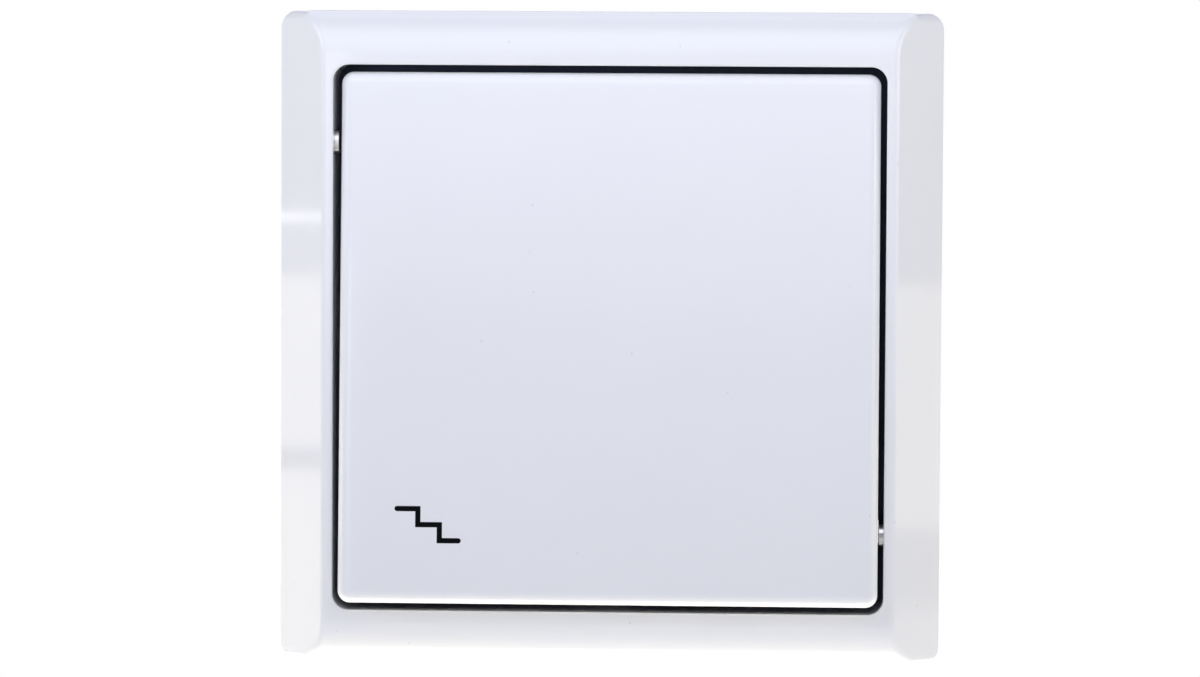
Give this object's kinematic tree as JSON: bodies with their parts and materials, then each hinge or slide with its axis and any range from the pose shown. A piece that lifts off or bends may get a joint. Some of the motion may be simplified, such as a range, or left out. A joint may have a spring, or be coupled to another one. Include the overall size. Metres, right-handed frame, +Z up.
{
  "type": "two-way rocker light switch",
  "caption": "Flush two-way light switch: square white rocker in a frame with slanted sides and rolled ends, on a steel plate with claws and a changeover contact.",
  "frame": {"origin": "middle of the support plate's back, in the plane of the wall", "axes": "+X right seen from the room, +Y into the wall, +Z up; the rocker faces -Y"},
  "size_m": [0.0822, 0.0364, 0.081],
  "materials": {
    "white_gloss_plastic": "gloss",
    "white_cradle_plastic": "satin",
    "acetal": "satin",
    "spring_steel": "bright",
    "grey_plastic": "matte",
    "dark_plastic": "matte",
    "zinc_plated_plate": "zinc plated, black chromated",
    "zinc_plated_claw": "zinc plated",
    "zinc_plated_screw": "zinc plated",
    "brass_strip": "stamped",
    "brass_cage": "stamped",
    "copper_blade": "stamped",
    "silver_tip": "polished"
  },
  "bodies": {
    "switch": {"cover_frame": "white_gloss_plastic", "support_plate": "zinc_plated_plate", "bearing_cover": "grey_plastic", "switch_base": "dark_plastic", "common_contact": "brass_strip", "upper_contact": "brass_strip", "lower_contact": "brass_strip", "fixed_contact_tips": "silver_tip", "plate_screws": "zinc_plated_screw"},
    "rocker": {"rocker_key": "white_gloss_plastic", "rocker_cradle": "white_cradle_plastic", "plunger_spring": "spring_steel"},
    "plunger": {"plunger": "acetal"},
    "seesaw": {"moving_contact": "copper_blade", "moving_contact_tips": "silver_tip"},
    "left_claw_screw": {"left_claw_screw": "zinc_plated_screw"},
    "left_claw_nut": {"left_claw_nut": "zinc_plated_screw"},
    "left_claw": {"left_claw": "zinc_plated_claw"},
    "right_claw_screw": {"right_claw_screw": "zinc_plated_screw"},
    "right_claw_nut": {"right_claw_nut": "zinc_plated_screw"},
    "right_claw": {"right_claw": "zinc_plated_claw"},
    "upper_terminal_screw": {"upper_terminal_screw": "zinc_plated_screw"},
    "upper_terminal": {"upper_terminal": "brass_cage"},
    "lower_terminal_screw": {"lower_terminal_screw": "zinc_plated_screw"},
    "lower_terminal": {"lower_terminal": "brass_cage"},
    "common_terminal_screw": {"common_terminal_screw": "zinc_plated_screw"},
    "common_terminal": {"common_terminal": "brass_cage"}
  },
  "joints": [
    {"name": "rocker_tilt", "type": "hinge", "parent": "switch", "child": "rocker", "pos_m": [0, -0.004, 0], "axis": [1, 0, 0], "range_deg": [0, 8]},
    {"name": "seesaw_tilt", "type": "hinge", "parent": "switch", "child": "seesaw", "pos_m": [0, 0.0112, 0], "axis": [1, 0, 0], "range_deg": [-16, 0]},
    {"name": "plunger_slide", "type": "slide", "parent": "rocker", "child": "plunger", "axis": [0, -0.9976, 0.0698], "range_m": [0, 0.001], "stiffness_N_per_m": 800, "springref_m": -0.003, "deforming": ["plunger_spring"]},
    {"name": "left_claw_screw_turn", "type": "hinge", "parent": "switch", "child": "left_claw_screw", "pos_m": [-0.0225, 0, 0], "axis": [0, 1, 0], "range_deg": [0, 2160]},
    {"name": "left_claw_nut_draw", "type": "slide", "parent": "switch", "child": "left_claw_nut", "axis": [0, -1, 0], "range_m": [0, 0.003]},
    {"name": "left_claw_tilt", "type": "hinge", "parent": "left_claw_nut", "child": "left_claw", "pos_m": [-0.0225, 0.02068, 0], "axis": [0, 0, -1], "range_deg": [0, 11]},
    {"name": "right_claw_screw_turn", "type": "hinge", "parent": "switch", "child": "right_claw_screw", "pos_m": [0.0225, 0, 0], "axis": [0, 1, 0], "range_deg": [0, 2160]},
    {"name": "right_claw_nut_draw", "type": "slide", "parent": "switch", "child": "right_claw_nut", "axis": [0, -1, 0], "range_m": [0, 0.003]},
    {"name": "right_claw_tilt", "type": "hinge", "parent": "right_claw_nut", "child": "right_claw", "pos_m": [0.0225, 0.02068, 0], "axis": [0, 0, 1], "range_deg": [0, 11]},
    {"name": "upper_terminal_screw_turn", "type": "hinge", "parent": "switch", "child": "upper_terminal_screw", "pos_m": [-0.009, 0, 0.01703], "axis": [0, -1, 0], "range_deg": [0, 1440]},
    {"name": "upper_terminal_lift", "type": "slide", "parent": "switch", "child": "upper_terminal", "axis": [0, 1, 0], "range_m": [0, 0.0024]},
    {"name": "lower_terminal_screw_turn", "type": "hinge", "parent": "switch", "child": "lower_terminal_screw", "pos_m": [-0.009, 0, -0.01703], "axis": [0, -1, 0], "range_deg": [0, 1440]},
    {"name": "lower_terminal_lift", "type": "slide", "parent": "switch", "child": "lower_terminal", "axis": [0, 1, 0], "range_m": [0, 0.0024]},
    {"name": "common_terminal_screw_turn", "type": "hinge", "parent": "switch", "child": "common_terminal_screw", "pos_m": [0.009, 0, -0.01703], "axis": [0, -1, 0], "range_deg": [0, 1440]},
    {"name": "common_terminal_lift", "type": "slide", "parent": "switch", "child": "common_terminal", "axis": [0, 1, 0], "range_m": [0, 0.0024]}
  ],
  "couplings": [
    {"joint": "seesaw_tilt", "follows": "rocker_tilt", "ratio": -2},
    {"joint": "left_claw_screw_turn", "follows": "left_claw_nut_draw", "rad_per_m": 12566},
    {"joint": "left_claw_tilt", "follows": "left_claw_nut_draw", "rad_per_m": 63.995},
    {"joint": "right_claw_screw_turn", "follows": "right_claw_nut_draw", "rad_per_m": 12566},
    {"joint": "right_claw_tilt", "follows": "right_claw_nut_draw", "rad_per_m": 63.995},
    {"joint": "upper_terminal_screw_turn", "follows": "upper_terminal_lift", "rad_per_m": 10472},
    {"joint": "lower_terminal_screw_turn", "follows": "lower_terminal_lift", "rad_per_m": 10472},
    {"joint": "common_terminal_screw_turn", "follows": "common_terminal_lift", "rad_per_m": 10472}
  ]
}
